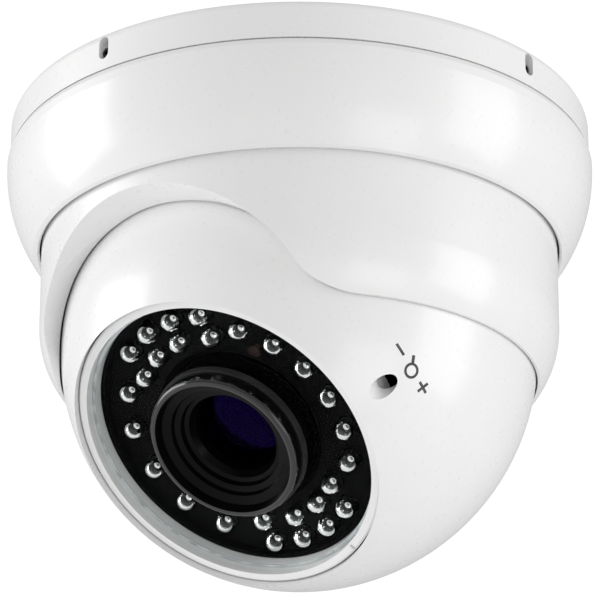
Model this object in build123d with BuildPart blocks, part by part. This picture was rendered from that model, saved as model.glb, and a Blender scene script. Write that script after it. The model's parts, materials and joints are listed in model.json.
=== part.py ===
from build123d import *
import math
import os

# Eyeball CCTV camera that hangs from a ceiling.
# Units are millimetres. The origin is the middle of the ceiling face and the body hangs towards -Z.
# The lens looks towards -Y and down, and +X is on the zoom adjuster's side.

# ---------------------------------------------------------------- driving dimensions
base_radius = 71.2
base_height = 10.0
base_plate = 3.0
base_wall = 3.0
cable_opening_radius = 20.0
ceiling_screw_circle = 110.0
ceiling_hole_radius = 2.25

seam_gap = 0.4
ring_radius = 71.9
ring_bottom = -34.8
ring_bore_radius = 63.4
ring_pocket_radius = 67.4
ring_shelf = -27.0

ball_radius = 57.6
ball_wall = 3.0
ball_centre = -59.4
ball_split = -20.0
ball_back = -42.8
look_down = 50.2

collar_radius = 62.9
collar_top = -22.0
collar_shoulder = -54.2
collar_bottom = -68.0
collar_bore_radius = 58.3
flange_radius = 66.8
flange_top = -23.6
flange_bottom = -26.0
arch_half_width = 40.0
arch_height = 28.0
arch_corner = 8.0
arch_lip_width = 3.0
arch_flare = 12.0
arch_flare_start = 54.0
arch_inside = 18.0
arch_reach = 14.0

face_radius = 39.4
bezel_radius = 39.1
bezel_bore = 36.0
bezel_front = 40.6
bezel_back = 33.2
glass_radius = 36.8
glass_front = 39.6
glass_thickness = 1.8

mask_front = 33.0
mask_hole_radius = 19.6
mask_hole_chamfer = 1.4
board_front = 27.0
board_thickness = 1.6
led_radius = 2.5
led_rows = {
    28.5: [56, 38, 20, 2, -16, -34, 142, 163, -174, -152, -130],
    31.3: [75, 90, 105, 120, -105, -90, -75, -60],
    25.4: [72, 93, 111, 128, -108, -87, -69, -52],
}

lens_body_radius = 17.6
lens_hood_radius = 19.0
lens_hood_back = 30.0
lens_front = 43.4
lens_front_round = 1.0
lens_shoulder = 16.0
tube_radius = 12.0
tube_back = -4.0

gear_module = 0.8
ring_teeth = 44
idler_teeth = 28
pinion_teeth = 12
gear_width = 4.0
zoom_level = 9.0
focus_level = 1.5
running_gap = 0.05

screw_radius = 1.25
touch_gap = 0.04

# ---------------------------------------------------------------- worked out from them
ring_top = -base_height - seam_gap
ring_pitch_radius = gear_module * ring_teeth / 2
idler_pitch_radius = gear_module * idler_teeth / 2
pinion_pitch_radius = gear_module * pinion_teeth / 2
idler_offset = ring_pitch_radius + idler_pitch_radius
adjuster_offset = idler_offset + idler_pitch_radius + pinion_pitch_radius
ball_inner = ball_radius - ball_wall
gear_backlash = 0.08
optic = Plane(
    origin=(0, 0, ball_centre),
    x_dir=(1, 0, 0),
    z_dir=(0, -math.cos(math.radians(look_down)), -math.sin(math.radians(look_down))),
)
optic_axis = Axis(optic.origin, optic.z_dir)


def sphere_reach(radius, height):
    """Distance from a sphere's axis to its surface at a height above its middle."""
    return math.sqrt(radius**2 - height**2)


def save(piece, name):
    """Label one finished sub-part and write it."""
    piece.label = name
    export_step(piece, f"parts/{name}.step")


def flank(base, radii, turn, side):
    """Involute flank points at some radii, mirrored about the X axis where side is -1."""
    points = []
    for radius in radii:
        pressure = math.acos(min(1.0, base / radius))
        angle = turn + math.tan(pressure) - pressure
        points.append((radius * math.cos(angle), side * radius * math.sin(angle)))
    return points


def gear_outline(teeth, phase):
    """Outline of a stub-toothed involute gear, one tooth pointing at the phase angle in degrees."""
    pressure = math.radians(20)
    pitch = gear_module * teeth / 2
    base = pitch * math.cos(pressure)
    tip = pitch + 0.7 * gear_module
    root = pitch - 1.05 * gear_module
    low = max(base, root + 0.05)
    rising = (low, (low + tip) / 2, tip)
    half_tooth = math.pi / (2 * teeth) - gear_backlash / pitch + math.tan(pressure) - pressure
    step = 2 * math.pi / teeth
    for index in range(teeth):
        middle = math.radians(phase) + index * step
        rise = flank(base, rising, middle - half_tooth, 1)
        fall = flank(base, rising[::-1], -middle - half_tooth, -1)
        following = flank(base, (low,), middle + step - half_tooth, 1)[0]
        foot, last_foot, next_foot = [
            (x * root / low, y * root / low) for x, y in (rise[0], fall[2], following)
        ]
        Line(foot, rise[0])
        ThreePointArc(*rise)
        Line(rise[2], fall[0])
        ThreePointArc(*fall)
        Line(fall[2], last_foot)
        Line(last_foot, next_foot)


def optic_at(x, y, level):
    """Plane across the optical axis, with its origin off the axis at a level along it."""
    spot = optic.offset(level)
    return Plane(origin=spot.from_local_coords((x, y, 0)), x_dir=(1, 0, 0), z_dir=optic.z_dir)


os.makedirs("parts", exist_ok=True)

# ================================================================ ceiling base
lug_angles = [0, 90, 180, 270]
slot_centre = -4.4
slot_length = 5.7
slot_width = 2.9
gasket_inner = 60.0
gasket_outer = 65.5
gasket_depth = 1.2
ceiling_circle_radius = ceiling_screw_circle / 2

with BuildPart() as mounting_base:
    with BuildSketch(Plane.XZ):
        with BuildLine():
            Polyline(
                (cable_opening_radius, 0),
                (base_radius, 0),
                (base_radius, -base_height),
                (base_radius - base_wall, -base_height),
                (base_radius - base_wall, -base_plate),
                (cable_opening_radius + 4.5, -base_plate),
                (cable_opening_radius + 4.5, -base_plate - 1.2),
                (cable_opening_radius + 2.5, -base_plate - 1.2),
                (cable_opening_radius + 1.5, -base_plate),
                (cable_opening_radius, -base_plate),
                close=True,
            )
        make_face()
    revolve(axis=Axis.Z)
    fillet(mounting_base.edges().group_by(Axis.Z)[-1].sort_by(SortBy.RADIUS)[-1], 2.4)
    with BuildSketch(Plane.XY.offset(-base_plate)):
        with PolarLocations(ceiling_circle_radius, 4, start_angle=45):
            Circle(5.0)
    extrude(amount=-2.0)
    with BuildSketch():
        with PolarLocations(ceiling_circle_radius, 4, start_angle=45):
            Circle(ceiling_hole_radius)
    extrude(amount=-base_height, mode=Mode.SUBTRACT)
    with BuildSketch():
        Circle(gasket_outer)
        Circle(gasket_inner, mode=Mode.SUBTRACT)
    extrude(amount=-gasket_depth, mode=Mode.SUBTRACT)
    for angle in lug_angles:
        side = Plane(
            origin=(0, 0, slot_centre),
            x_dir=(0, 0, 1),
            z_dir=(math.cos(math.radians(angle)), math.sin(math.radians(angle)), 0),
        )
        with BuildSketch(side.offset(base_radius - base_wall - 0.8)):
            SlotOverall(slot_length, slot_width)
        extrude(amount=2 * base_wall, mode=Mode.SUBTRACT)

with BuildPart() as base_gasket:
    with BuildSketch():
        Circle(gasket_outer)
        Circle(gasket_inner, mode=Mode.SUBTRACT)
    extrude(amount=-gasket_depth)

# ================================================================ cover ring
lug_inner = 64.0
lug_outer = 67.9
lug_width = 12.0
lug_top = -3.5
lug_bottom = -19.0
seal_inner = 68.6
seal_outer = 70.0
seal_depth = 0.9
snap_top = -21.0
snap_bottom = -22.3
snap_groove_radius = 68.2
lock_height = -5.2
pan_stop_height = -16.6
pan_stop_tip = 60.4

with BuildPart() as cover_ring:
    with BuildSketch(Plane.XZ):
        with BuildLine():
            Polyline(
                (ring_bore_radius + 0.6, ring_bottom),
                (ring_bore_radius, ring_bottom + 0.6),
                (ring_bore_radius, ring_shelf),
                (ring_pocket_radius, ring_shelf),
                (ring_pocket_radius, snap_bottom),
                (snap_groove_radius, snap_bottom),
                (snap_groove_radius, snap_top),
                (ring_pocket_radius, snap_top),
                (ring_pocket_radius, ring_top),
                (base_radius, ring_top),
            )
            Line((base_radius, ring_top), (ring_radius, ring_top - 1.4))
            Line((ring_radius, ring_top - 1.4), (ring_radius, ring_top - 3.6))
            ThreePointArc(
                (ring_radius, ring_top - 3.6),
                (69.7, ring_top - 14.8),
                (64.9, ring_bottom + 0.5),
            )
            Line((64.9, ring_bottom + 0.5), (ring_bore_radius + 0.6, ring_bottom))
        make_face()
    revolve(axis=Axis.Z)
    with BuildSketch(Plane.XY.offset(ring_top)):
        Circle(seal_outer)
        Circle(seal_inner, mode=Mode.SUBTRACT)
    extrude(amount=-seal_depth, mode=Mode.SUBTRACT)
    with BuildSketch(Plane.XY.offset(lug_bottom)):
        with PolarLocations((lug_inner + lug_outer) / 2, 4):
            Rectangle(lug_outer - lug_inner, lug_width)
        Circle(lug_outer, mode=Mode.INTERSECT)
    extrude(amount=lug_top - lug_bottom)
    for angle in lug_angles:
        side = Plane(
            origin=(0, 0, lock_height),
            x_dir=(0, 0, 1),
            z_dir=(math.cos(math.radians(angle)), math.sin(math.radians(angle)), 0),
        )
        with BuildSketch(side.offset(lug_inner - 1)):
            Circle(screw_radius)
        extrude(amount=lug_outer - lug_inner + 2, mode=Mode.SUBTRACT)
    with BuildSketch(Plane(origin=(0, -lug_inner + 1, pan_stop_height), z_dir=(0, -1, 0))):
        Circle(screw_radius)
    extrude(amount=5.0, mode=Mode.SUBTRACT)

with BuildPart() as cover_seal:
    with BuildSketch(Plane.XY.offset(-base_height)):
        Circle(seal_outer)
        Circle(seal_inner, mode=Mode.SUBTRACT)
    extrude(amount=-(seam_gap + seal_depth))

with BuildPart() as locking_screws:
    for angle in lug_angles:
        outward = (math.cos(math.radians(angle)), math.sin(math.radians(angle)), 0)
        side = Plane(origin=(0, 0, lock_height), x_dir=(0, 0, 1), z_dir=outward)
        with BuildSketch(side.offset(lug_inner + 0.5)):
            Circle(screw_radius - touch_gap)
        extrude(amount=5.6)
        with BuildSketch(side.offset(lug_inner + 6.1)):
            RegularPolygon(0.75, 6)
        extrude(amount=-1.6, mode=Mode.SUBTRACT)

with BuildPart() as pan_stop_screw:
    stop_plane = Plane(origin=(0, 0, pan_stop_height), x_dir=(0, 0, 1), z_dir=(0, -1, 0))
    with BuildSketch(stop_plane.offset(pan_stop_tip)):
        Circle(screw_radius - touch_gap)
    extrude(amount=lug_outer - pan_stop_tip)
    with BuildSketch(stop_plane.offset(lug_outer)):
        RegularPolygon(0.75, 6)
    extrude(amount=-1.6, mode=Mode.SUBTRACT)

# ================================================================ pan bearing rings
with BuildPart() as glide_washer:
    with BuildSketch(Plane.XY.offset(ring_shelf)):
        Circle(ring_pocket_radius - 0.3)
        Circle(ring_bore_radius + 0.4, mode=Mode.SUBTRACT)
    extrude(amount=flange_bottom - ring_shelf - 0.05)

with BuildPart() as friction_ring:
    with BuildSketch(Plane.XY.offset(snap_bottom)):
        Circle(flange_radius - 0.2)
        Circle(ring_bore_radius + 0.4, mode=Mode.SUBTRACT)
    extrude(amount=flange_top - snap_bottom + 0.05)

with BuildPart() as snap_ring:
    with BuildSketch(Plane.XY.offset(snap_bottom)):
        Circle(snap_groove_radius - 0.1)
        Circle(ring_bore_radius + 1.0, mode=Mode.SUBTRACT)
        with Locations((-64, 0)):
            Rectangle(14, 7, mode=Mode.SUBTRACT)
    extrude(amount=snap_top - snap_bottom - touch_gap)

# ================================================================ pan collar
seat_radius = ball_radius + 0.45
liner_radius = ball_radius + 0.3
groove_top = -61.4
groove_bottom = -65.6
groove_radius = 59.3
liner_arc = 180.0
lip_width = 0.6
clamp_screw_circle = 60.6
clamp_top = -20.0


def on_ball(radius, height):
    """Point in the X-Z plane on a sphere about the ball's middle."""
    return (sphere_reach(radius, height - ball_centre), height)


with BuildPart() as arch_lip:
    with BuildSketch(Plane.XZ):
        with BuildLine():
            lip_top = collar_bottom + arch_height + arch_lip_width
            upper = on_ball(seat_radius, lip_top)
            middle = on_ball(seat_radius, (lip_top + ball_centre) / 2)
            ThreePointArc((seat_radius, ball_centre), middle, upper)
            Polyline(
                upper,
                (collar_radius - 2, lip_top),
                (collar_radius - 2, ball_centre),
                (seat_radius, ball_centre),
            )
        make_face()
    revolve(axis=Axis.Z)
    with BuildSketch(Plane.XZ):
        with Locations((0, collar_bottom)):
            Ellipse(arch_half_width + arch_lip_width, arch_height + arch_lip_width)
    extrude(amount=80, mode=Mode.INTERSECT)

with BuildPart() as pan_collar:
    with BuildSketch(Plane.XZ):
        with BuildLine():
            lip = on_ball(seat_radius, collar_bottom)
            lip_outer = (lip[0] + lip_width, collar_bottom)
            Polyline(
                (seat_radius, ball_centre),
                (collar_bore_radius, ball_centre + 3),
                (collar_bore_radius, collar_top),
                (collar_radius, collar_top),
                (collar_radius, flange_top),
                (flange_radius, flange_top),
                (flange_radius, flange_bottom),
                (collar_radius, flange_bottom),
                (collar_radius, collar_shoulder),
            )
            TangentArc((collar_radius, collar_shoulder), lip_outer, tangent=(0, -1))
            Line(lip_outer, lip)
            ThreePointArc(
                lip,
                on_ball(seat_radius, (collar_bottom + ball_centre) / 2),
                (seat_radius, ball_centre),
            )
        make_face()
    revolve(axis=Axis.Z)
    with BuildSketch(Plane.XZ):
        with Locations((groove_radius - 1.5, (groove_top + groove_bottom) / 2)):
            Rectangle(3.0, groove_top - groove_bottom)
    revolve(axis=Axis.Z, revolution_arc=liner_arc, mode=Mode.SUBTRACT)
    add(arch_lip.part)
    with BuildSketch(Plane.XZ.offset(arch_flare_start)) as arch:
        with Locations((0, collar_bottom)):
            Ellipse(arch_half_width, arch_height)
        with Locations((0, collar_bottom - 20)):
            Rectangle(150, 40)
        fillet(arch.vertices().group_by(Axis.Z)[-1], arch_corner)
    extrude(amount=arch_inside - arch_flare_start, mode=Mode.SUBTRACT)
    extrude(arch.sketch, amount=arch_reach, taper=-arch_flare, mode=Mode.SUBTRACT)
    with BuildSketch(Plane.XY.offset(collar_top)):
        with PolarLocations(clamp_screw_circle, 4, start_angle=45):
            Circle(screw_radius)
    extrude(amount=-8, mode=Mode.SUBTRACT)

with BuildPart() as seat_liner:
    with BuildSketch(Plane.XZ):
        with BuildLine():
            top = on_ball(liner_radius, groove_top - touch_gap)
            bottom = on_ball(liner_radius, groove_bottom + touch_gap)
            ThreePointArc(top, on_ball(liner_radius, (groove_top + groove_bottom) / 2), bottom)
            Polyline(
                bottom,
                (groove_radius - touch_gap, groove_bottom + touch_gap),
                (groove_radius - touch_gap, groove_top - touch_gap),
                top,
            )
        make_face()
    revolve(axis=Axis.Z, revolution_arc=liner_arc - 0.2)

clamp_radius = ball_radius + 1.6
clamp_bottom = -29.0
skirt_radius = 53.8

with BuildPart() as clamp_ring:
    with BuildSketch(Plane.XZ):
        with BuildLine():
            low = on_ball(clamp_radius, clamp_bottom)
            high = on_ball(clamp_radius, clamp_top)
            ThreePointArc(high, on_ball(clamp_radius, (clamp_top + clamp_bottom) / 2), low)
            Polyline(
                low,
                (skirt_radius, clamp_bottom),
                (skirt_radius, collar_top),
                (collar_radius - 0.4, collar_top),
                (collar_radius - 0.4, clamp_top),
                high,
            )
        make_face()
    revolve(axis=Axis.Z)
    with BuildSketch(Plane.XY.offset(clamp_top)):
        with PolarLocations(clamp_screw_circle, 4, start_angle=45):
            Circle(screw_radius)
    extrude(amount=-3, mode=Mode.SUBTRACT)
    with BuildSketch(Plane.XY.offset(clamp_top)):
        with Locations((0, clamp_screw_circle)):
            Rectangle(6, 3.4)
    extrude(amount=4.2)

with BuildPart() as clamp_liner:
    with BuildSketch(Plane.XZ):
        with BuildLine():
            low = clamp_bottom + 0.4
            high = clamp_top - 1.2
            middle = (low + high) / 2
            inner = liner_radius
            outer = clamp_radius - touch_gap
            ThreePointArc(on_ball(inner, low), on_ball(inner, middle), on_ball(inner, high))
            Line(on_ball(inner, high), on_ball(outer, high))
            ThreePointArc(on_ball(outer, high), on_ball(outer, middle), on_ball(outer, low))
            Line(on_ball(outer, low), on_ball(inner, low))
        make_face()
    revolve(axis=Axis.Z)


def screws(name, plane, places, length, head_radius, head_height):
    """Pan-head screws with a cross recess, heads standing on the plane's far side."""
    with BuildPart() as group:
        with BuildSketch(plane):
            with Locations(*places):
                Circle(head_radius)
        extrude(amount=head_height)
        fillet(group.edges().filter_by(GeomType.CIRCLE).group_by(Axis(plane.origin, plane.z_dir))[-1], 0.5)
        with BuildSketch(plane.offset(head_height)):
            with Locations(*places):
                Rectangle(1.9, 0.45)
                Rectangle(0.45, 1.9)
        extrude(amount=-0.9, mode=Mode.SUBTRACT)
        with BuildSketch(plane):
            with Locations(*places):
                Circle(screw_radius - touch_gap)
        extrude(amount=-length)
    save(group.part, name)


def ring_places(radius, count, first=0.0):
    """Evenly spaced points on a circle."""
    angles = [math.radians(first + 360 * index / count) for index in range(count)]
    return [(radius * math.cos(angle), radius * math.sin(angle)) for angle in angles]


clamp_places = ring_places(clamp_screw_circle, 4, 45)
screws("clamp_screws", Plane.XY.offset(clamp_top), clamp_places, 8.5, 1.9, 1.6)

# ================================================================ ball shells
seal_groove_inner = 51.2
seal_groove_outer = 52.6
seal_groove_depth = 1.2
cover_boss_circle = 47.0
cover_boss_width = 8.0
cover_boss_depth = 12.0
cover_head_level = -28.0
chassis_boss_places = [(0, 47.0), (0, -47.0)]
chassis_back = -8.0
chassis_thickness = 2.5
chassis_boss_back = -12.0
socket_outer = 41.6
shelf_front = 31.0
shelf_back = 29.4
shelf_radius = 34.6
adjuster_hole_radius = 2.4
back_wall = 2.5
gland_hole_radius = 7.0

with BuildPart() as shell_bosses:
    with BuildSketch(optic.offset(ball_split)):
        with PolarLocations(50, 4, start_angle=45):
            Rectangle(14, cover_boss_width)
    extrude(amount=cover_boss_depth)
    with BuildSketch(optic.offset(chassis_boss_back)):
        with PolarLocations(50, 2, start_angle=90):
            Rectangle(14, cover_boss_width)
    extrude(amount=chassis_back - chassis_boss_back)
    with Locations(optic.origin):
        Sphere(ball_inner + 0.5, mode=Mode.INTERSECT)

with BuildPart() as ball_front_shell:
    with Locations(optic.origin):
        Sphere(ball_radius)
        Sphere(ball_inner, mode=Mode.SUBTRACT)
    split(bisect_by=optic.offset(ball_split), keep=Keep.TOP)
    with BuildSketch(optic.offset(shelf_back)):
        Circle(socket_outer)
    extrude(amount=8)
    with BuildSketch(optic.offset(shelf_front)):
        Circle(face_radius)
    extrude(amount=30, mode=Mode.SUBTRACT)
    with BuildSketch(optic.offset(shelf_back - 1)):
        Circle(shelf_radius)
    extrude(amount=4, mode=Mode.SUBTRACT)
    add(shell_bosses.part)
    with BuildSketch(optic.offset(15)):
        with PolarLocations(adjuster_offset, 2):
            Circle(adjuster_hole_radius)
    extrude(amount=30, mode=Mode.SUBTRACT)
    with BuildSketch(optic.offset(ball_split)):
        with PolarLocations(cover_boss_circle, 4, start_angle=45):
            Circle(screw_radius)
    extrude(amount=cover_boss_depth - 2, mode=Mode.SUBTRACT)
    with BuildSketch(optic.offset(chassis_boss_back)):
        with Locations(*chassis_boss_places):
            Circle(screw_radius)
    extrude(amount=10, mode=Mode.SUBTRACT)

with BuildPart() as cover_bosses:
    with BuildSketch(optic.offset(ball_split)):
        with PolarLocations(50, 4, start_angle=45):
            Rectangle(14, cover_boss_width)
    extrude(amount=cover_head_level - ball_split - 4)
    with Locations(optic.origin):
        Sphere(ball_inner + 0.5, mode=Mode.INTERSECT)

with BuildPart() as cover_hollow:
    with Locations(optic.origin):
        Sphere(ball_inner)
    split(bisect_by=optic.offset(ball_back + back_wall), keep=Keep.TOP)

with BuildPart() as ball_rear_cover:
    with Locations(optic.origin):
        Sphere(ball_radius)
    split(bisect_by=optic.offset(ball_back), keep=Keep.TOP)
    split(bisect_by=optic.offset(ball_split), keep=Keep.BOTTOM)
    add(cover_hollow.part, mode=Mode.SUBTRACT)
    add(cover_bosses.part)
    with BuildSketch(optic.offset(cover_head_level)):
        with PolarLocations(cover_boss_circle, 4, start_angle=45):
            Circle(2.6)
    extrude(amount=-20, mode=Mode.SUBTRACT)
    with BuildSketch(optic.offset(ball_split)):
        with PolarLocations(cover_boss_circle, 4, start_angle=45):
            Circle(screw_radius)
    extrude(amount=-10, mode=Mode.SUBTRACT)
    with BuildSketch(optic.offset(ball_back)):
        Circle(gland_hole_radius)
    extrude(amount=back_wall, mode=Mode.SUBTRACT)
    with BuildSketch(optic.offset(ball_split)):
        Circle(seal_groove_outer)
        Circle(seal_groove_inner, mode=Mode.SUBTRACT)
    extrude(amount=-seal_groove_depth, mode=Mode.SUBTRACT)

with BuildPart() as rear_cover_seal:
    with BuildSketch(optic.offset(ball_split)):
        Circle(seal_groove_outer - touch_gap)
        Circle(seal_groove_inner + touch_gap, mode=Mode.SUBTRACT)
    extrude(amount=-seal_groove_depth)

rear_facing = Plane(
    origin=optic.offset(cover_head_level).origin,
    x_dir=(1, 0, 0),
    z_dir=-optic.z_dir,
)
cover_screw_places = ring_places(cover_boss_circle, 4, 45)
screws("rear_cover_screws", rear_facing, cover_screw_places, 17.5, 2.3, 1.7)

gland_bore_radius = 3.0
gland_flange_radius = 10.0
gland_nose = -50.5

with BuildPart() as cable_gland:
    with BuildSketch(optic.offset(ball_back + back_wall + 4.2)):
        Circle(gland_hole_radius - touch_gap)
    extrude(amount=-4.2 - back_wall)
    with BuildSketch(optic.offset(ball_back)):
        RegularPolygon(gland_flange_radius, 6)
    extrude(amount=-3.0)
    with BuildSketch(optic.offset(ball_back - 3.0)):
        Circle(7.6)
    extrude(amount=gland_nose - ball_back + 3.0, taper=10)
    with BuildSketch(optic.offset(gland_nose)):
        Circle(gland_bore_radius)
    extrude(amount=20, mode=Mode.SUBTRACT)

with BuildPart() as gland_nut:
    with BuildSketch(optic.offset(ball_back + back_wall)):
        RegularPolygon(gland_flange_radius, 6)
        Circle(gland_hole_radius + touch_gap, mode=Mode.SUBTRACT)
    extrude(amount=3.2)

# ================================================================ face of the ball
glass_back = glass_front - glass_thickness
seal_thickness = 0.5
gasket_width = 0.5
notch_angle = -65.0
mask_rim_front = 35.2

with BuildPart() as bezel_ring:
    with BuildSketch(optic.offset(bezel_back)):
        Circle(bezel_radius)
        Circle(bezel_bore, mode=Mode.SUBTRACT)
    extrude(amount=bezel_front - bezel_back)
    with BuildSketch(optic.offset(glass_back - seal_thickness)):
        Circle(glass_radius + 0.1)
    extrude(amount=bezel_front, mode=Mode.SUBTRACT)
    chamfer(bezel_ring.edges().group_by(optic_axis)[-1].sort_by(SortBy.RADIUS)[-1], 0.5)
    with BuildSketch(optic.offset(bezel_front - 0.6)):
        with PolarLocations(bezel_radius - 0.6, 1, start_angle=notch_angle):
            Rectangle(2.2, 0.9)
    extrude(amount=2, mode=Mode.SUBTRACT)

with BuildPart() as glass_seal:
    with BuildSketch(optic.offset(glass_back - seal_thickness)):
        Circle(glass_radius)
        Circle(bezel_bore + 0.05, mode=Mode.SUBTRACT)
    extrude(amount=seal_thickness)

with BuildPart() as window_glass:
    with BuildSketch(optic.offset(glass_back)):
        Circle(glass_radius)
        Circle(lens_hood_radius + gasket_width, mode=Mode.SUBTRACT)
    extrude(amount=glass_thickness)

with BuildPart() as lens_gasket:
    with BuildSketch(optic.offset(glass_back)):
        Circle(lens_hood_radius + gasket_width - touch_gap)
        Circle(lens_hood_radius + touch_gap, mode=Mode.SUBTRACT)
    extrude(amount=glass_thickness)

# ================================================================ infrared lamp board
led_front = 37.2
led_flange_radius = 2.9
sensor_radius = 1.5
board_screw_circle = 23.4
led_places = [
    place
    for circle, angles in led_rows.items()
    for angle in angles
    for place in ring_places(circle, 1, angle)
]
sensor_place = ring_places(23.6, 1, 47)
board_screw_places = ring_places(board_screw_circle, 2, 32) + ring_places(board_screw_circle, 2, 152)
board_face = board_front + board_thickness

with BuildPart() as lamp_mask:
    with BuildSketch(optic.offset(shelf_front)):
        Circle(face_radius - 0.1)
        Circle(mask_hole_radius, mode=Mode.SUBTRACT)
    extrude(amount=mask_front - shelf_front)
    hole_edge = lamp_mask.edges().group_by(optic_axis)[-1].sort_by(SortBy.RADIUS)[0]
    chamfer(hole_edge, mask_hole_chamfer)
    with BuildSketch(optic.offset(mask_front)):
        Circle(bezel_bore - 0.15)
        Circle(bezel_bore - 1.1, mode=Mode.SUBTRACT)
    extrude(amount=mask_rim_front - mask_front)
    with BuildSketch(optic.offset(board_face)):
        with Locations(*board_screw_places):
            Circle(2.3)
    extrude(amount=shelf_front - board_face)
    with BuildSketch(optic.offset(shelf_front)):
        with Locations(*led_places):
            Circle(led_radius + 0.2)
        with Locations(*sensor_place):
            Circle(sensor_radius + 0.2)
    extrude(amount=6, mode=Mode.SUBTRACT)
    with BuildSketch(optic.offset(board_face)):
        with Locations(*board_screw_places):
            Circle(screw_radius)
    extrude(amount=3.2, mode=Mode.SUBTRACT)

with BuildPart() as lamp_board:
    with BuildSketch(optic.offset(board_front)):
        Circle(shelf_radius - 0.3)
        Circle(mask_hole_radius + 0.8, mode=Mode.SUBTRACT)
        with Locations(*board_screw_places):
            Circle(screw_radius, mode=Mode.SUBTRACT)
    extrude(amount=board_thickness)

back_of_board = Plane(origin=optic.offset(board_front).origin, x_dir=(1, 0, 0), z_dir=-optic.z_dir)
mirrored_board_places = [(x, -y) for x, y in board_screw_places]
screws("lamp_board_screws", back_of_board, mirrored_board_places, 4.4, 2.1, 1.5)

with BuildPart() as infrared_lamps:
    with BuildSketch(optic.offset(board_face)):
        with Locations(*led_places):
            Circle(led_flange_radius)
    extrude(amount=1.0)
    with BuildSketch(optic.offset(board_face + 1.0)):
        with Locations(*led_places):
            Circle(led_radius)
    extrude(amount=led_front - led_radius - board_face - 1.0)
    with Locations(*[optic_at(x, y, led_front - led_radius).origin for x, y in led_places]):
        Sphere(led_radius)

with BuildPart() as light_sensor:
    with BuildSketch(optic.offset(board_face)):
        with Locations(*sensor_place):
            Circle(sensor_radius)
    extrude(amount=5.6)

# ================================================================ lens
optic_side = Plane(
    origin=optic.origin,
    x_dir=(1, 0, 0),
    z_dir=Vector(1, 0, 0).cross(optic.z_dir),
)
lens_bore = 9.0
group_radius = lens_bore - 0.07
group_glass_radius = group_radius - 1.4 - touch_gap
glass_seat_radius = 10.4
glass_seat_level = 31.0

with BuildPart() as lens_barrel:
    with BuildSketch(optic_side):
        with BuildLine():
            Polyline(
                (lens_bore, tube_back),
                (tube_radius, tube_back),
                (tube_radius, lens_shoulder),
                (lens_body_radius, lens_shoulder),
                (lens_body_radius, lens_hood_back - 1.5),
                (lens_hood_radius, lens_hood_back),
                (lens_hood_radius, lens_front),
                (lens_hood_radius - 1.6, lens_front),
                (lens_hood_radius - 2.4, lens_front - 2.0),
                (lens_hood_radius - 4.4, lens_front - 2.8),
                (lens_hood_radius - 4.8, lens_front - 3.8),
                (lens_hood_radius - 6.2, lens_front - 4.2),
                (lens_hood_radius - 6.6, lens_front - 5.4),
                (glass_seat_radius + 1.0, lens_front - 5.8),
                (glass_seat_radius, lens_front - 7.4),
                (glass_seat_radius, glass_seat_level),
                (glass_seat_radius - 0.8, glass_seat_level),
                (glass_seat_radius - 0.8, 23.0),
                (lens_bore, 22.0),
                close=True,
            )
        make_face()
    revolve(axis=optic_axis)
    fillet(lens_barrel.edges().group_by(optic_axis)[-1].sort_by(SortBy.RADIUS)[-1], lens_front_round)


def lens_cell(name, back, length):
    """Sliding metal cell of a lens group."""
    with BuildPart() as cell:
        with BuildSketch(optic.offset(back)):
            Circle(group_radius)
            Circle(group_radius - 1.4, mode=Mode.SUBTRACT)
        extrude(amount=length)
    save(cell.part, name)


def lens_element(name, back, front, radius, curve):
    """Glass element, flat behind and convex in front with the radius of its curve."""
    with BuildPart() as element:
        with BuildSketch(optic.offset(back)):
            Circle(radius)
        extrude(amount=front - back)
        with Locations(optic.offset(front - curve).origin):
            Sphere(curve, mode=Mode.INTERSECT)
    save(element.part, name)


def toothed_ring(name, level, hub_back, hub_front):
    """Lens ring that turns on the barrel, with its gear at one level along the optical axis."""
    with BuildPart() as ring:
        with BuildSketch(optic.offset(level)):
            with BuildLine():
                gear_outline(ring_teeth, 0)
            make_face()
        extrude(amount=gear_width)
        with BuildSketch(optic.offset(hub_back)):
            Circle(15.4)
        extrude(amount=hub_front - hub_back)
        with BuildSketch(optic.offset(hub_back)):
            Circle(tube_radius + running_gap)
        extrude(amount=hub_front - hub_back, mode=Mode.SUBTRACT)
    save(ring.part, name)


def idler_gear(name, side, level, phase):
    """Idler that carries a lens ring's turn outwards, on the +X (1) or -X (-1) side."""
    with BuildPart() as idler:
        with BuildSketch(optic_at(side * idler_offset, 0, level)):
            with BuildLine():
                gear_outline(idler_teeth, phase)
            make_face()
        extrude(amount=gear_width)
        with BuildSketch(optic_at(side * idler_offset, 0, chassis_front + 0.2)):
            Circle(3.2)
        extrude(amount=bridge_back - chassis_front - 0.4)
        with BuildSketch(optic_at(side * idler_offset, 0, chassis_back)):
            Circle(spindle_radius + running_gap)
        extrude(amount=bridge_back - chassis_back, mode=Mode.SUBTRACT)
    save(idler.part, name)


def adjuster_spindle(name, side, level):
    """Screwdriver spindle with its pinion, under the adjuster hole on one side."""
    with BuildPart() as spindle:
        with BuildSketch(optic_at(side * adjuster_offset, 0, level)):
            with BuildLine():
                gear_outline(pinion_teeth, 0)
            make_face()
        extrude(amount=gear_width)
        with BuildSketch(optic_at(side * adjuster_offset, 0, chassis_back)):
            Circle(spindle_radius)
        extrude(amount=spindle_head_back - chassis_back)
        with BuildSketch(optic_at(side * adjuster_offset, 0, chassis_front + 0.2)):
            Circle(2.6)
        extrude(amount=level - chassis_front - 0.2)
        with BuildSketch(optic_at(side * adjuster_offset, 0, spindle_head_back)):
            Circle(2.0)
        extrude(amount=3.0)
        with BuildSketch(optic_at(side * adjuster_offset, 0, spindle_head_back + 3.0)):
            Rectangle(5, 0.7)
        extrude(amount=-1.2, mode=Mode.SUBTRACT)
    save(spindle.part, name)


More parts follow.
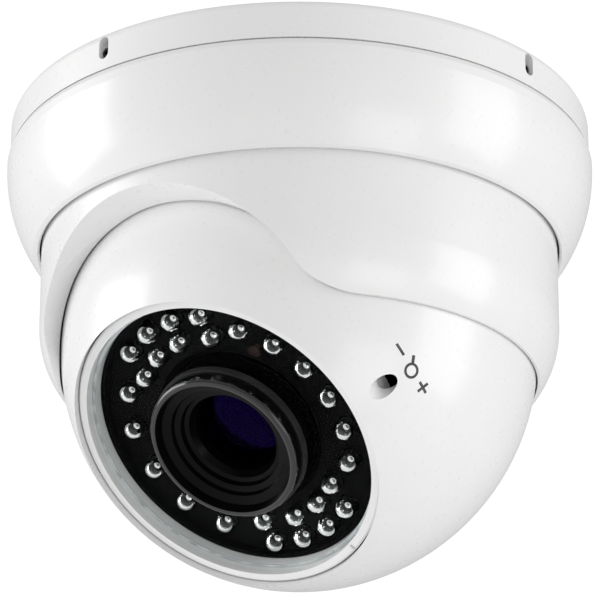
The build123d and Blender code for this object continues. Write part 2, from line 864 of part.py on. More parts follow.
chassis_front = chassis_back + chassis_thickness
chassis_radius = 49.0
bridge_back = 13.6
bridge_thickness = 2.0
bridge_post_places = [(34, 18), (-34, 18), (-34, -18), (34, -18)]
spindle_radius = 1.5
spindle_head_back = 22.4
holder_back = -12.2
holder_size = 27.0
board_post_places = [(27, 20), (-27, 20), (-27, -20), (27, -20)]
sensor_post_places = [(17, 17), (-17, 17), (-17, -17), (17, -17)]
idler_places = [(idler_offset, 0), (-idler_offset, 0)]
adjuster_places = [(adjuster_offset, 0), (-adjuster_offset, 0)]

toothed_ring("zoom_ring", zoom_level, zoom_level - 0.2, lens_shoulder - 0.15)
toothed_ring("focus_ring", focus_level, tube_back + 0.3, focus_level + gear_width)
idler_gear("zoom_idler", 1, zoom_level, 180 + 180 / idler_teeth)
idler_gear("focus_idler", -1, focus_level, 180 / idler_teeth)
adjuster_spindle("zoom_adjuster", 1, zoom_level)
adjuster_spindle("focus_adjuster", -1, focus_level)
lens_cell("zoom_lens_cell", 10.0, 6.0)
lens_element("zoom_lens", 11.0, 15.2, group_glass_radius, 25.0)
lens_cell("focus_lens_cell", -0.5, 4.5)
lens_element("focus_lens", 0.2, 3.5, group_glass_radius, 32.0)
lens_element("front_lens", glass_seat_level, 35.6, glass_seat_radius - 0.05, 25.0)

with BuildPart() as ring_spacer:
    with BuildSketch(optic.offset(focus_level + gear_width + 0.2)):
        Circle(15.0)
        Circle(tube_radius + touch_gap, mode=Mode.SUBTRACT)
    extrude(amount=zoom_level - focus_level - gear_width - 0.6)

with BuildPart() as idler_axles:
    for x, y in idler_places:
        with BuildSketch(optic_at(x, y, chassis_back)):
            Circle(spindle_radius)
        extrude(amount=bridge_back + bridge_thickness - chassis_back)

# ================================================================ chassis inside the ball
with BuildPart() as camera_chassis:
    with BuildSketch(optic.offset(chassis_back)):
        Circle(chassis_radius)
        Rectangle(holder_size + 0.2, holder_size + 0.2, mode=Mode.SUBTRACT)
        with Locations(*idler_places):
            Circle(spindle_radius + touch_gap, mode=Mode.SUBTRACT)
        with Locations(*adjuster_places):
            Circle(spindle_radius + running_gap, mode=Mode.SUBTRACT)
        with Locations((0, 30), (0, -30)):
            SlotOverall(26, 9, mode=Mode.SUBTRACT)
    extrude(amount=chassis_thickness)
    with BuildSketch(optic.offset(chassis_front)):
        with Locations(*bridge_post_places):
            Circle(2.8)
    extrude(amount=bridge_back - chassis_front)
    with BuildSketch(optic.offset(bridge_back)):
        with Locations(*bridge_post_places):
            Circle(screw_radius)
    extrude(amount=-8, mode=Mode.SUBTRACT)
    with BuildSketch(optic.offset(chassis_back)):
        with Locations(*chassis_boss_places):
            Circle(screw_radius)
    extrude(amount=chassis_thickness, mode=Mode.SUBTRACT)

with BuildPart() as adjuster_bridge:
    with BuildSketch(optic.offset(bridge_back)):
        Rectangle(102, 46)
        Circle(49.6, mode=Mode.INTERSECT)
        Circle(mask_hole_radius, mode=Mode.SUBTRACT)
        with Locations(*idler_places):
            Circle(spindle_radius + touch_gap, mode=Mode.SUBTRACT)
        with Locations(*adjuster_places):
            Circle(spindle_radius + running_gap, mode=Mode.SUBTRACT)
        with Locations(*bridge_post_places):
            Circle(screw_radius, mode=Mode.SUBTRACT)
    extrude(amount=bridge_thickness)

screws("bridge_screws", optic.offset(bridge_back + bridge_thickness), bridge_post_places, 9.0, 2.2, 1.6)
boss_back = Plane(origin=optic.offset(chassis_boss_back).origin, x_dir=(1, 0, 0), z_dir=-optic.z_dir)
screws("chassis_screws", boss_back, chassis_boss_places, 6.4, 2.2, 1.6)

filter_back = -9.0
filter_cavity = 1.8
filter_travel = 6.0

with BuildPart() as lens_holder:
    with BuildSketch(optic.offset(holder_back)):
        Rectangle(holder_size, holder_size)
        Circle(6.0, mode=Mode.SUBTRACT)
    extrude(amount=tube_back - holder_back)
    with BuildSketch(optic.offset(filter_back)):
        with Locations((1.5, 0)):
            Rectangle(28, 10.4)
    extrude(amount=filter_cavity, mode=Mode.SUBTRACT)

with BuildPart() as filter_carrier:
    with BuildSketch(optic.offset(filter_back + 0.2)):
        with Locations((-filter_travel / 2, 0)):
            Rectangle(16.0, 10.0)
        with Locations((0, 0), (-filter_travel, 0)):
            Circle(2.7, mode=Mode.SUBTRACT)
    extrude(amount=filter_cavity - 0.4)

with BuildPart() as filter_glass:
    with BuildSketch(optic.offset(filter_back + 0.6)):
        with Locations((0, 0), (-filter_travel, 0)):
            Circle(2.7 - touch_gap)
    extrude(amount=0.6)

# ================================================================ circuit boards
sensor_board_thickness = 1.6
sensor_board_back = holder_back - sensor_board_thickness
main_board_front = -28.4
main_board_thickness = 1.6

with BuildPart() as sensor_board:
    with BuildSketch(optic.offset(sensor_board_back)):
        RectangleRounded(42, 42, 2)
        with Locations(*sensor_post_places):
            Circle(screw_radius, mode=Mode.SUBTRACT)
    extrude(amount=sensor_board_thickness)

with BuildPart() as image_sensor:
    with BuildSketch(optic.offset(holder_back)):
        Rectangle(8.0, 6.4)
    extrude(amount=1.2)

with BuildPart() as sensor_standoffs:
    with BuildSketch(optic.offset(holder_back)):
        with Locations(*sensor_post_places):
            RegularPolygon(2.4, 6)
    extrude(amount=chassis_back - holder_back)
    with BuildSketch(optic.offset(holder_back)):
        with Locations(*sensor_post_places):
            Circle(screw_radius)
    extrude(amount=3.2, mode=Mode.SUBTRACT)

sensor_back = Plane(origin=optic.offset(sensor_board_back).origin, x_dir=(1, 0, 0), z_dir=-optic.z_dir)
screws("sensor_board_screws", sensor_back, sensor_post_places, 4.6, 2.2, 1.5)

with BuildPart() as main_board:
    with BuildSketch(optic.offset(main_board_front - main_board_thickness)):
        Circle(38.0)
        with Locations(*board_post_places):
            Circle(screw_radius, mode=Mode.SUBTRACT)
        with Locations((38, 0), (-38, 0)):
            Rectangle(6, 80, mode=Mode.SUBTRACT)
    extrude(amount=main_board_thickness)

with BuildPart() as board_standoffs:
    with BuildSketch(optic.offset(main_board_front)):
        with Locations(*board_post_places):
            RegularPolygon(2.6, 6)
    extrude(amount=chassis_back - main_board_front)
    with BuildSketch(optic.offset(main_board_front)):
        with Locations(*board_post_places):
            Circle(screw_radius)
    extrude(amount=5.0, mode=Mode.SUBTRACT)

board_back = Plane(
    origin=optic.offset(main_board_front - main_board_thickness).origin,
    x_dir=(1, 0, 0),
    z_dir=-optic.z_dir,
)
screws("main_board_screws", board_back, board_post_places, 5.6, 2.2, 1.6)

with BuildPart() as main_board_parts:
    with BuildSketch(optic.offset(main_board_front)):
        Rectangle(12, 12)
    extrude(amount=1.4)
    with BuildSketch(optic.offset(main_board_front)):
        with Locations((-14, 12), (-14, -12), (12, 16)):
            Circle(4.0)
    extrude(amount=8.0)
    with BuildSketch(optic.offset(main_board_front)):
        with Locations((14, -12)):
            Rectangle(11, 11)
    extrude(amount=5.0)
    with BuildSketch(board_back):
        with Locations((0, 26), (0, -26)):
            Rectangle(14, 5.5)
    extrude(amount=5.0)

for piece, name in (
    (mounting_base.part, "mounting_base"),
    (base_gasket.part, "base_gasket"),
    (cover_ring.part, "cover_ring"),
    (cover_seal.part, "cover_seal"),
    (locking_screws.part, "locking_screws"),
    (pan_stop_screw.part, "pan_stop_screw"),
    (glide_washer.part, "glide_washer"),
    (friction_ring.part, "friction_ring"),
    (snap_ring.part, "snap_ring"),
    (pan_collar.part, "pan_collar"),
    (seat_liner.part, "seat_liner"),
    (clamp_ring.part, "clamp_ring"),
    (clamp_liner.part, "clamp_liner"),
    (ball_front_shell.part, "ball_front_shell"),
    (ball_rear_cover.part, "ball_rear_cover"),
    (rear_cover_seal.part, "rear_cover_seal"),
    (cable_gland.part, "cable_gland"),
    (gland_nut.part, "gland_nut"),
    (bezel_ring.part, "bezel_ring"),
    (glass_seal.part, "glass_seal"),
    (window_glass.part, "window_glass"),
    (lens_gasket.part, "lens_gasket"),
    (lamp_mask.part, "lamp_mask"),
    (lamp_board.part, "lamp_board"),
    (infrared_lamps.part, "infrared_lamps"),
    (light_sensor.part, "light_sensor"),
    (lens_barrel.part, "lens_barrel"),
    (ring_spacer.part, "ring_spacer"),
    (idler_axles.part, "idler_axles"),
    (camera_chassis.part, "camera_chassis"),
    (adjuster_bridge.part, "adjuster_bridge"),
    (lens_holder.part, "lens_holder"),
    (filter_carrier.part, "filter_carrier"),
    (filter_glass.part, "filter_glass"),
    (sensor_board.part, "sensor_board"),
    (image_sensor.part, "image_sensor"),
    (sensor_standoffs.part, "sensor_standoffs"),
    (main_board.part, "main_board"),
    (board_standoffs.part, "board_standoffs"),
    (main_board_parts.part, "main_board_parts"),
):
    save(piece, name)
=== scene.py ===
"""Looks of the eyeball CCTV camera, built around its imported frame."""

import json
import math

import bmesh
import bpy
from mathutils import Matrix, Vector


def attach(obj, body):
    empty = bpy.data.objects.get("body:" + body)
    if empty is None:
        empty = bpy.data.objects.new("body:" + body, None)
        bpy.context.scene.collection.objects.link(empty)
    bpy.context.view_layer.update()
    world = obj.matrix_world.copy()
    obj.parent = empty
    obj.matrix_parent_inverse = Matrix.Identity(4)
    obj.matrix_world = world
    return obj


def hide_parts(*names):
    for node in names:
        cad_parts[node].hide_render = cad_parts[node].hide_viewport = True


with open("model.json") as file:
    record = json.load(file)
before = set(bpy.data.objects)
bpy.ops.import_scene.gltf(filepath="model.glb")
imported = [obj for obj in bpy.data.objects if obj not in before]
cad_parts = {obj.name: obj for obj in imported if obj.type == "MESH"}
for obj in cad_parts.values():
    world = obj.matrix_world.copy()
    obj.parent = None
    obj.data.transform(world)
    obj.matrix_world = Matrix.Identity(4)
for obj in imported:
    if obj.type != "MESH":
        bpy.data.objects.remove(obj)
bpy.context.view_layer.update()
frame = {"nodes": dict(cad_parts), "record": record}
nodes = frame["nodes"]
scene = bpy.context.scene
MM = 0.001

# ---------------------------------------------------------------- the optical axis, as in the CAD
LOOK_DOWN = math.radians(50.2)
BALL_CENTRE = Vector((0, 0, -0.0594))
BALL_RADIUS = 57.6
OPTIC_X = Vector((1, 0, 0))
OPTIC_Y = Vector((0, -math.sin(LOOK_DOWN), math.cos(LOOK_DOWN)))
OPTIC_Z = Vector((0, -math.cos(LOOK_DOWN), -math.sin(LOOK_DOWN)))
OPTIC_TURN = Matrix((OPTIC_X, OPTIC_Y, OPTIC_Z)).transposed()


def optic_point(x, y, level):
    """Point given in millimetres across and along the optical axis from the ball's middle."""
    return BALL_CENTRE + MM * (x * OPTIC_X + y * OPTIC_Y + level * OPTIC_Z)


# ---------------------------------------------------------------- material helpers
NOISE_LOW = 0.3
NOISE_HIGH = 0.7


def new_material(name):
    """Empty node material with its Principled shader."""
    made = bpy.data.materials.new(name)
    made.use_nodes = True
    return made, made.node_tree, made.node_tree.nodes["Principled BSDF"]


def place_source(tree, optical=False):
    """Coordinates of the piece, or the same turned so that Z runs along the optical axis."""
    coordinates = tree.nodes.new("ShaderNodeTexCoord").outputs["Object"]
    if not optical:
        return coordinates
    turned = tree.nodes.new("ShaderNodeMapping")
    turned.vector_type = "TEXTURE"
    turned.inputs["Location"].default_value = BALL_CENTRE
    turned.inputs["Rotation"].default_value = OPTIC_TURN.to_euler()
    tree.links.new(coordinates, turned.inputs["Vector"])
    return turned.outputs["Vector"]


def noise(tree, source, scale, detail=3.0):
    """Noise value over the surface; scale is features per metre."""
    node = tree.nodes.new("ShaderNodeTexNoise")
    node.inputs["Scale"].default_value = scale
    node.inputs["Detail"].default_value = detail
    tree.links.new(source, node.inputs["Vector"])
    return node.outputs["Fac"]


def ramp(tree, source, low, high):
    """Colour ramp between two colours over the range of a noise value."""
    node = tree.nodes.new("ShaderNodeValToRGB")
    node.color_ramp.elements[0].position = NOISE_LOW
    node.color_ramp.elements[1].position = NOISE_HIGH
    node.color_ramp.elements[0].color = (*low, 1)
    node.color_ramp.elements[1].color = (*high, 1)
    tree.links.new(source, node.inputs["Fac"])
    return node.outputs["Color"]


def spread(tree, source, low, high):
    """Noise value, which mostly lies between NOISE_LOW and NOISE_HIGH, mapped onto a range."""
    node = tree.nodes.new("ShaderNodeMapRange")
    node.inputs["From Min"].default_value = NOISE_LOW
    node.inputs["From Max"].default_value = NOISE_HIGH
    node.inputs["To Min"].default_value = low
    node.inputs["To Max"].default_value = high
    tree.links.new(source, node.inputs["Value"])
    return node.outputs["Result"]


def bump(tree, shader, source, strength, distance):
    """Bump on a shader from a height."""
    node = tree.nodes.new("ShaderNodeBump")
    node.inputs["Strength"].default_value = strength
    node.inputs["Distance"].default_value = distance
    tree.links.new(source, node.inputs["Height"])
    tree.links.new(node.outputs["Normal"], shader.inputs["Normal"])


def finish_of(name, low, high, roughness, mottle, grain, depth, **sockets):
    """Material with mottled colour, uneven roughness and grain.

    low and high are the colour's ends, roughness its two ends, mottle and grain features per
    metre, and depth the grain's height in metres. Other sockets are set by name.
    """
    made, tree, shader = new_material(name)
    source = place_source(tree)
    patches = noise(tree, source, mottle)
    tree.links.new(ramp(tree, patches, low, high), shader.inputs["Base Color"])
    fine = noise(tree, source, grain, 2.0)
    tree.links.new(spread(tree, fine, *roughness), shader.inputs["Roughness"])
    bump(tree, shader, fine, 0.6, depth)
    for socket, value in sockets.items():
        shader.inputs[socket.replace("_", " ")].default_value = value
    return made


def turned_metal(name, low, high, roughness, rings, depth, **sockets):
    """Metal turned on a lathe about the optical axis, with fine tool rings."""
    made, tree, shader = new_material(name)
    source = place_source(tree, optical=True)
    patches = noise(tree, source, 160)
    tree.links.new(ramp(tree, patches, low, high), shader.inputs["Base Color"])
    grooves = tree.nodes.new("ShaderNodeTexWave")
    grooves.wave_type = "RINGS"
    grooves.rings_direction = "Z"
    grooves.inputs["Scale"].default_value = rings
    grooves.inputs["Distortion"].default_value = 0.6
    tree.links.new(source, grooves.inputs["Vector"])
    tree.links.new(spread(tree, patches, *roughness), shader.inputs["Roughness"])
    bump(tree, shader, grooves.outputs["Fac"], 0.3, depth)
    for socket, value in sockets.items():
        shader.inputs[socket.replace("_", " ")].default_value = value
    return made


def coated_glass(name, tint, mirror, facing, clear, share):
    """Lens glass: see-through, with a coloured coating that mirrors more at a slant.

    tint and mirror are the two ends of the coating's colour, clear is the glass's own colour,
    facing is the blend of the slant, and share scales how much the coating mirrors.
    """
    made, tree, shader = new_material(name)
    tree.nodes.remove(shader)
    source = place_source(tree, optical=True)
    weight = tree.nodes.new("ShaderNodeLayerWeight")
    weight.inputs["Blend"].default_value = facing
    through = tree.nodes.new("ShaderNodeBsdfTransparent")
    through.inputs["Color"].default_value = (*clear, 1)
    gloss = tree.nodes.new("ShaderNodeBsdfGlossy")
    gloss.inputs["Roughness"].default_value = 0.03
    tree.links.new(ramp(tree, noise(tree, source, 60), tint, mirror), gloss.inputs["Color"])
    both = tree.nodes.new("ShaderNodeMixShader")
    weaker = tree.nodes.new("ShaderNodeMath")
    weaker.operation = "MULTIPLY"
    weaker.inputs[1].default_value = share
    tree.links.new(weight.outputs["Fresnel"], weaker.inputs[0])
    tree.links.new(weaker.outputs[0], both.inputs[0])
    tree.links.new(through.outputs[0], both.inputs[1])
    tree.links.new(gloss.outputs[0], both.inputs[2])
    tree.links.new(both.outputs[0], tree.nodes["Material Output"].inputs["Surface"])
    return made


def clear_epoxy(name, colour):
    """Cast epoxy that bends light and lets the lamps' light through."""
    made, tree, shader = new_material(name)
    source = place_source(tree)
    shader.inputs["Transmission Weight"].default_value = 1.0
    shader.inputs["IOR"].default_value = 1.52
    tint = ramp(tree, noise(tree, source, 300), colour, [min(1.0, c * 1.02) for c in colour])
    tree.links.new(tint, shader.inputs["Base Color"])
    shader.inputs["Roughness"].default_value = 0.02
    path = tree.nodes.new("ShaderNodeLightPath")
    through = tree.nodes.new("ShaderNodeBsdfTransparent")
    both = tree.nodes.new("ShaderNodeMixShader")
    tree.links.new(path.outputs["Is Shadow Ray"], both.inputs[0])
    tree.links.new(shader.outputs[0], both.inputs[1])
    tree.links.new(through.outputs[0], both.inputs[2])
    tree.links.new(both.outputs[0], tree.nodes["Material Output"].inputs["Surface"])
    return made


# ---------------------------------------------------------------- materials
def grey(value, warm=0.0):
    """Grey with a little warmth."""
    return (value, value - warm / 2, value - warm)


paint = finish_of(
    "white_powder_coat", grey(0.855, 0.004), grey(0.875, 0.002), (0.27, 0.31), 30, 600, 2e-7,
    Coat_Weight=0.3, Coat_Roughness=0.12,
)
bezel_plastic = finish_of(
    "white_moulded_plastic", grey(0.86), grey(0.89), (0.16, 0.22), 60, 900, 3e-6,
)
casting = finish_of(
    "bead_blasted_casting", grey(0.50), grey(0.62), (0.42, 0.58), 220, 2600, 3e-5, Metallic=1.0,
)
foam = finish_of("closed_cell_foam", grey(0.025), grey(0.045), (0.85, 0.95), 400, 1500, 2e-4)
silicone = finish_of(
    "translucent_silicone", grey(0.72), grey(0.80), (0.35, 0.45), 250, 1800, 1e-5,
    Subsurface_Weight=0.15,
)
rubber = finish_of("seal_rubber", grey(0.018), grey(0.03), (0.55, 0.7), 250, 2200, 3e-5)
friction = finish_of("friction_rubber", grey(0.07), grey(0.10), (0.6, 0.75), 300, 2000, 5e-5)
nylon = finish_of(
    "turned_nylon", (0.74, 0.72, 0.66), (0.80, 0.78, 0.72), (0.35, 0.45), 120, 1400, 1e-5,
    Subsurface_Weight=0.1,
)
acetal = finish_of(
    "moulded_acetal", (0.78, 0.77, 0.73), (0.84, 0.83, 0.80), (0.25, 0.35), 150, 1800, 8e-6,
)
zinc_steel = finish_of(
    "zinc_plated_steel", (0.42, 0.43, 0.46), (0.60, 0.60, 0.60), (0.22, 0.4), 500, 4000, 1e-5,
    Metallic=1.0,
)
spring_steel = finish_of(
    "oiled_spring_steel", (0.16, 0.16, 0.17), (0.26, 0.26, 0.28), (0.25, 0.4), 260, 3000, 1e-5,
    Metallic=1.0,
)
black_screw = finish_of(
    "black_oxide_steel", grey(0.012), grey(0.03), (0.35, 0.5), 600, 4000, 1e-5, Metallic=0.7,
)
black_plastic = finish_of(
    "fine_grain_black_plastic", grey(0.0015), grey(0.003), (0.45, 0.6), 180, 3200, 8e-6,
    Specular_IOR_Level=0.04,
)
gland_plastic = finish_of(
    "moulded_black_nylon", grey(0.022), grey(0.035), (0.38, 0.5), 160, 2600, 2e-5,
)
brass = finish_of(
    "turned_brass", (0.62, 0.44, 0.17), (0.78, 0.58, 0.26), (0.2, 0.34), 400, 3500, 8e-6,
    Metallic=1.0,
)
lens_black = turned_metal(
    "gloss_black_barrel", grey(0.0012), grey(0.0025), (0.16, 0.24), 900, 1e-6,
    Specular_IOR_Level=0.09,
)
lens_metal = turned_metal(
    "black_anodised_metal", grey(0.006), grey(0.012), (0.26, 0.36), 900, 4e-6,
    Specular_IOR_Level=0.3,
)
chip_black = finish_of(
    "moulded_chip_package", grey(0.02), grey(0.035), (0.5, 0.65), 700, 5000, 2e-5,
)
sensor_glass = finish_of(
    "sensor_package", (0.05, 0.03, 0.07), (0.10, 0.07, 0.14), (0.05, 0.1), 500, 3000, 2e-6,
)
lamp_resin = clear_epoxy("clear_lamp_epoxy", (0.97, 0.98, 1.0))
smoked_resin = finish_of(
    "smoked_sensor_resin", (0.02, 0.012, 0.012), (0.05, 0.03, 0.03), (0.06, 0.1), 300, 2000, 2e-6,
)
front_coating = coated_glass(
    "front_lens_coating", (0.14, 0.09, 0.75), (0.30, 0.13, 0.85), 0.35, (0.35, 0.30, 0.42), 0.11
)
inner_coating = coated_glass(
    "inner_lens_coating", (0.12, 0.10, 0.65), (0.30, 0.10, 0.55), 0.4, (0.3, 0.28, 0.34), 0.12
)
filter_coating = coated_glass(
    "filter_coating", (0.55, 0.20, 0.25), (0.30, 0.75, 0.65), 0.4, (0.55, 0.85, 0.85), 0.6
)
window_coating = coated_glass(
    "window_glass_gloss", (0.85, 0.92, 0.95), (0.95, 1.0, 1.0), 0.2, (0.985, 0.995, 0.99), 0.05
)


def board_material(name, mask, track):
    """Circuit board with solder mask over copper tracks."""
    made, tree, shader = new_material(name)
    source = place_source(tree, optical=True)
    tracks = tree.nodes.new("ShaderNodeTexBrick")
    tracks.inputs["Scale"].default_value = 240
    tracks.inputs["Mortar Size"].default_value = 0.035
    tracks.inputs["Color1"].default_value = (*mask, 1)
    tracks.inputs["Color2"].default_value = (*[c * 1.25 for c in mask], 1)
    tracks.inputs["Mortar"].default_value = (*track, 1)
    tree.links.new(source, tracks.inputs["Vector"])
    tree.links.new(tracks.outputs["Color"], shader.inputs["Base Color"])
    tree.links.new(spread(tree, noise(tree, source, 900), 0.22, 0.34), shader.inputs["Roughness"])
    bump(tree, shader, tracks.outputs["Fac"], 0.4, 2e-5)
    return made


green_board = board_material("green_solder_mask", (0.008, 0.07, 0.03), (0.02, 0.15, 0.06))
black_board = board_material("black_solder_mask", (0.004, 0.004, 0.005), (0.012, 0.012, 0.013))

finish_by_slot = {
    "white_paint": paint,
    "raw_casting": casting,
    "bezel_white": bezel_plastic,
    "foam": foam,
    "seal_rubber": rubber,
    "clear_seal": silicone,
    "nylon": nylon,
    "friction_rubber": friction,
    "screw_steel": zinc_steel,
    "black_screw": black_screw,
    "spring_steel": spring_steel,
    "black_plastic": black_plastic,
    "gland_plastic": gland_plastic,
    "clear_glass": window_coating,
    "coated_glass": inner_coating,
    "filter_glass": filter_coating,
    "lamp_epoxy": lamp_resin,
    "sensor_epoxy": smoked_resin,
    "black_board": black_board,
    "green_board": green_board,
    "board_parts": chip_black,
    "sensor_chip": sensor_glass,
    "brass": brass,
    "acetal": acetal,
    "lens_black": lens_black,
    "lens_metal": lens_metal,
}
for row in frame["record"]["subparts"]:
    shown = nodes[row["node"]]
    shown.data.materials.clear()
    shown.data.materials.append(finish_by_slot[row["material_slot"]])
nodes["front_lens"].data.materials[0] = front_coating


# ---------------------------------------------------------------- mesh helpers
def mesh_piece(name, build, finish, body, smooth=True):
    """New mesh object whose bmesh a function fills, riding on a body."""
    drawn = bmesh.new()
    build(drawn)
    mesh = bpy.data.meshes.new(name)
    drawn.normal_update()
    drawn.to_mesh(mesh)
    drawn.free()
    for polygon in mesh.polygons:
        polygon.use_smooth = smooth
    piece = bpy.data.objects.new(name, mesh)
    scene.collection.objects.link(piece)
    mesh.materials.append(finish)
    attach(piece, body)
    return piece


def lathe(drawn, x, y, profile, count=40):
    """Surface turned about a line parallel to the optical axis, from (radius, level) points."""
    rings = []
    for radius, level in profile:
        if radius == 0:
            rings.append([drawn.verts.new(optic_point(x, y, level))])
            continue
        ring = []
        for index in range(count):
            angle = 2 * math.pi * index / count
            spot = optic_point(x + radius * math.cos(angle), y + radius * math.sin(angle), level)
            ring.append(drawn.verts.new(spot))
        rings.append(ring)
    for lower, upper in zip(rings, rings[1:]):
        for index in range(count):
            following = (index + 1) % count
            corners = [
                lower[index % len(lower)],
                lower[following % len(lower)],
                upper[following % len(upper)],
                upper[index % len(upper)],
            ]
            unique = list(dict.fromkeys(corners))
            if len(unique) > 2:
                drawn.faces.new(unique)


# ---------------------------------------------------------------- infrared lamps
BOARD_FACE = 28.6
LAMP_TIP = 37.2
LAMP_RADIUS = 2.5
FLANGE_RADIUS = 2.9
FLANGE_TOP = BOARD_FACE + 1.0
FLANGE_EDGE = 0.05
LAMP_ROWS = {
    28.5: [56, 38, 20, 2, -16, -34, 142, 163, -174, -152, -130],
    31.3: [75, 90, 105, 120, -105, -90, -75, -60],
    25.4: [72, 93, 111, 128, -108, -87, -69, -52],
}
lamp_spots = [
    (radius * math.cos(math.radians(angle)), radius * math.sin(math.radians(angle)))
    for radius, angles in LAMP_ROWS.items()
    for angle in angles
]
DOME_STEPS = 12
dome = [
    (LAMP_RADIUS * math.sin(math.pi / 2 * step / DOME_STEPS),
     LAMP_TIP - LAMP_RADIUS * (1 - math.cos(math.pi / 2 * step / DOME_STEPS)))
    for step in range(DOME_STEPS + 1)
]
resin_profile = dome + [
    (LAMP_RADIUS, FLANGE_TOP + 2 * FLANGE_EDGE),
    (FLANGE_RADIUS - FLANGE_EDGE, FLANGE_TOP),
    (FLANGE_RADIUS, FLANGE_TOP - 2 * FLANGE_EDGE),
    (FLANGE_RADIUS, BOARD_FACE),
    (0, BOARD_FACE),
]
CUP_LEVEL = 32.4
CUP_FLOOR = CUP_LEVEL - 0.75
LEAD_FOOT = BOARD_FACE + 0.1
LEAD_OFFSET = 2.05
cup_profile = [
    (0, CUP_FLOOR), (0.42, CUP_FLOOR), (0.5, CUP_FLOOR + 0.07), (1.5, CUP_LEVEL),
    (1.65, CUP_LEVEL), (1.65, CUP_LEVEL - 1.2), (0.45, CUP_LEVEL - 1.9), (0.3, LEAD_FOOT),
]


def draw_resin(drawn):
    """Clear body of every lamp."""
    for x, y in lamp_spots:
        lathe(drawn, x, y, resin_profile)


def draw_box(drawn, x, y, half, low, high):
    """Small block along the optical axis."""
    corners = [(-half[0], -half[1]), (half[0], -half[1]), (half[0], half[1]), (-half[0], half[1])]
    bottom = [drawn.verts.new(optic_point(x + a, y + b, low)) for a, b in corners]
    top = [drawn.verts.new(optic_point(x + a, y + b, high)) for a, b in corners]
    drawn.faces.new(bottom[::-1])
    drawn.faces.new(top)
    for index in range(4):
        following = (index + 1) % 4
        drawn.faces.new((bottom[index], bottom[following], top[following], top[index]))


def draw_leads(drawn):
    """Reflector cup on one lead, and the other lead beside it."""
    for x, y in lamp_spots:
        lathe(drawn, x, y, cup_profile, 24)
        draw_box(drawn, x + LEAD_OFFSET, y, (0.2, 0.35), LEAD_FOOT, CUP_LEVEL + 0.15)


def draw_dies(drawn):
    """Light-giving die on the floor of each cup."""
    for x, y in lamp_spots:
        draw_box(drawn, x, y, (0.22, 0.22), CUP_FLOOR + 0.01, CUP_FLOOR + 0.25)


cup_metal = finish_of(
    "silvered_lead_frame", grey(0.86), grey(0.95), (0.06, 0.14), 800, 6000, 2e-6, Metallic=1.0,
)
die_finish = finish_of(
    "lamp_die", (0.08, 0.06, 0.05), (0.16, 0.12, 0.10), (0.2, 0.3), 2000, 9000, 1e-6, Metallic=0.6,
)
lamp_domes = mesh_piece("lamp_domes", draw_resin, lamp_resin, "ball")
mesh_piece("lamp_cups", draw_leads, cup_metal, "ball")
mesh_piece("lamp_dies", draw_dies, die_finish, "ball", smooth=False)
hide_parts("infrared_lamps")


# ---------------------------------------------------------------- polished skin of the lens hood
HOOD_RADIUS = 19.02
HOOD_FRONT = 43.42
HOOD_ROUND = 1.0
ROUND_STEPS = 8
hood_profile = [(HOOD_RADIUS, 37.0), (HOOD_RADIUS, 38.5), (HOOD_RADIUS, 41.0)] + [
    (HOOD_RADIUS - HOOD_ROUND * (1 - math.cos(math.pi / 2 * step / ROUND_STEPS)),
     HOOD_FRONT - HOOD_ROUND * (1 - math.sin(math.pi / 2 * step / ROUND_STEPS)))
    for step in range(ROUND_STEPS + 1)
] + [(17.5, HOOD_FRONT), (17.42, HOOD_FRONT - 0.08), (17.3, HOOD_FRONT - 0.3)]
hood_gloss = turned_metal(
    "polished_hood_black", grey(0.003), grey(0.005), (0.07, 0.1), 700, 3e-7, Specular_IOR_Level=0.8,
)
mesh_piece(
    "lens_hood_skin", lambda drawn: lathe(drawn, 0, 0, hood_profile, 160), hood_gloss, "ball",
)


# ---------------------------------------------------------------- printed marks beside the adjusters
INK_TOP = 0.03
HAIR = 0.02
MARK_CENTRE = Vector((49.4, -0.6, 29.3))
MARK_DOWN = Vector((0.51, 0, -0.861))


def on_paint(side, across, down, lift):
    """Point on the ball's paint, in millimetres from the mark's middle, on the +X (1) or -X (-1) side."""
    flat = MARK_CENTRE + Vector((0, -across, 0)) + down * MARK_DOWN
    flat.x *= side
    return optic_point(*(flat.normalized() * (BALL_RADIUS + lift)))


def ink_band(drawn, side, inner, outer):
    """Raised ink between two closed rows of points."""
    count = len(inner)
    rows = [
        [drawn.verts.new(on_paint(side, a, b, lift)) for a, b in row]
        for row, lift in ((inner, -INK_TOP), (inner, INK_TOP), (outer, INK_TOP), (outer, -INK_TOP))
    ]
    for low, high in zip(rows, rows[1:]):
        for index in range(count):
            following = (index + 1) % count
            drawn.faces.new((low[index], low[following], high[following], high[index]))


def circle_row(x, y, radius, count=32):
    """Closed row of points on a circle."""
    angles = [2 * math.pi * index / count for index in range(count)]
    return [(x + radius * math.cos(angle), y + radius * math.sin(angle)) for angle in angles]


def bar(x0, y0, x1, y1, width):
    """Inner and outer rows of a straight stroke. The inner row is a hair-wide line along its middle."""
    along = Vector((x1 - x0, y1 - y0)).normalized()
    across = Vector((-along.y, along.x))
    rows = []
    for half in (HAIR, width / 2):
        start = Vector((x0, y0)) - along * half
        end = Vector((x1, y1)) + along * half
        side = across * half
        rows.append([tuple(start - side), tuple(end - side), tuple(end + side), tuple(start + side)])
    return rows


def draw_zoom_mark(drawn):
    """Minus, magnifier and plus."""
    ink_band(drawn, 1, circle_row(0.3, -0.4, 1.25), circle_row(0.3, -0.4, 1.85))
    strokes = [
        bar(-1.15, 1.0, -2.0, 1.8, 0.75),
        bar(-6.6, 0, -4.1, 0, 0.65),
        bar(4.1, 0, 6.6, 0, 0.65),
        bar(5.35, -1.25, 5.35, 1.25, 0.65),
    ]
    for stroke in strokes:
        ink_band(drawn, 1, *stroke)


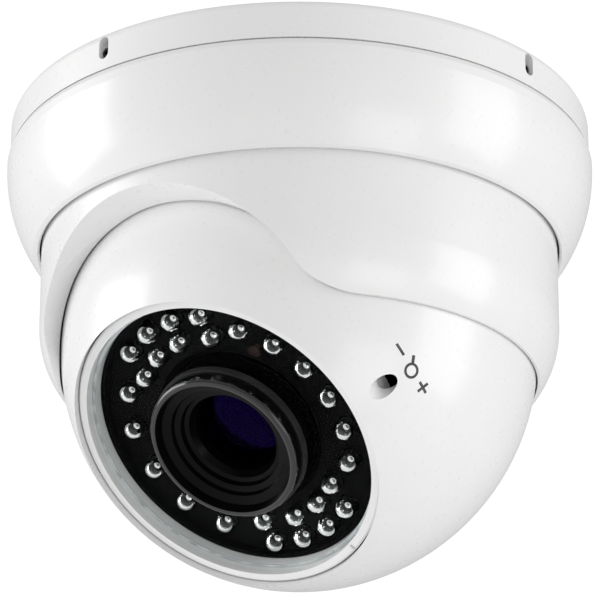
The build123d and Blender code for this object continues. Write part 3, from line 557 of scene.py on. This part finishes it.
def draw_focus_mark(drawn):
    """Frame corners around a dot."""
    ink_band(drawn, -1, circle_row(0, 0, 0.05), circle_row(0, 0, 0.7))
    for across in (-1, 1):
        for down in (-1, 1):
            corner = (2.6 * across, 1.8 * down)
            ink_band(drawn, -1, *bar(*corner, 1.4 * across, 1.8 * down, 0.45))
            ink_band(drawn, -1, *bar(*corner, 2.6 * across, 0.9 * down, 0.45))


ink = finish_of("printed_grey_ink", grey(0.025), grey(0.045), (0.4, 0.5), 400, 2500, 2e-7)
for name, draw in (("zoom_mark", draw_zoom_mark), ("focus_mark", draw_focus_mark)):
    mesh_piece(name, draw, ink, "ball", smooth=False)


# ---------------------------------------------------------------- floor, lights and camera
FLOOR_LEVEL = -0.95
FLOOR_HALF = 6.0


def draw_floor():
    """Pale floor well below the hanging camera."""
    mesh = bpy.data.meshes.new("floor")
    signs = ((-1, -1), (1, -1), (1, 1), (-1, 1))
    corners = [(a * FLOOR_HALF, b * FLOOR_HALF, FLOOR_LEVEL) for a, b in signs]
    mesh.from_pydata(corners, [], [(0, 1, 2, 3)])
    floor = bpy.data.objects.new("floor", mesh)
    scene.collection.objects.link(floor)
    mesh.materials.append(
        finish_of("pale_floor", grey(0.80), grey(0.83), (0.6, 0.7), 3, 120, 1e-5)
    )


def softbox(name, place, target, size, power, tint=(1, 1, 1)):
    """Rectangular area lamp that faces a point. Places and sizes are in metres, power in watts."""
    lamp = bpy.data.lights.new(name, "AREA")
    lamp.shape = "RECTANGLE"
    lamp.size, lamp.size_y = size
    lamp.energy = power
    lamp.color = tint
    holder = bpy.data.objects.new(name, lamp)
    scene.collection.objects.link(holder)
    holder.location = place
    holder.rotation_euler = (Vector(target) - Vector(place)).to_track_quat("-Z", "Y").to_euler()


draw_floor()
middle = (0, 0, -0.055)
softbox("left_key", (-1.7, -1.35, 0.15), middle, (1.3, 1.6), 26)
softbox("right_fill", (1.7, 0.75, -0.05), middle, (1.0, 1.5), 12)
softbox("hood_light", (0.95, -0.25, -0.56), middle, (0.5, 0.5), 1.2)

# strengths of the studio's light: on matt surfaces, in reflections, and straight into the camera
STUDIO = 0.66
STUDIO_GLOSS = 0.45
BACKGROUND = 1.05


def make_world():
    """Even studio light, with a white background behind the object."""
    world = bpy.data.worlds.new("studio")
    scene.world = world
    world.use_nodes = True
    tree = world.node_tree
    path = tree.nodes.new("ShaderNodeLightPath")
    last = None
    for strength, flag in ((STUDIO, None), (STUDIO_GLOSS, "Is Glossy Ray"), (BACKGROUND, "Is Camera Ray")):
        lit = tree.nodes.new("ShaderNodeBackground")
        lit.inputs["Color"].default_value = (1, 1, 1, 1)
        lit.inputs["Strength"].default_value = strength
        if last is None:
            last = lit
            continue
        both = tree.nodes.new("ShaderNodeMixShader")
        tree.links.new(path.outputs[flag], both.inputs[0])
        tree.links.new(last.outputs[0], both.inputs[1])
        tree.links.new(lit.outputs[0], both.inputs[2])
        last = both
    tree.links.new(last.outputs[0], tree.nodes["World Output"].inputs["Surface"])


make_world()
scene.view_settings.view_transform = "Standard"

CAMERA_PLACE = Vector((0.5829, -0.6857, -0.4358))
CAMERA_FORWARD = Vector((-0.594, 0.699, 0.398))
CAMERA_UP = Vector((0.256, -0.305, 0.917))
SENSOR_WIDTH = 36
FOCAL_LENGTH = 242.1

camera_data = bpy.data.cameras.new("camera")
camera_data.sensor_width = SENSOR_WIDTH
camera_data.lens = FOCAL_LENGTH
camera_data.clip_start = 0.05
camera_data.clip_end = 50
camera = bpy.data.objects.new("camera", camera_data)
scene.collection.objects.link(camera)
forward = CAMERA_FORWARD.normalized()
right = forward.cross(CAMERA_UP).normalized()
up = right.cross(forward).normalized()
turn = Matrix((right, up, -forward)).transposed()
camera.matrix_world = Matrix.Translation(CAMERA_PLACE) @ turn.to_4x4()
scene.camera = camera
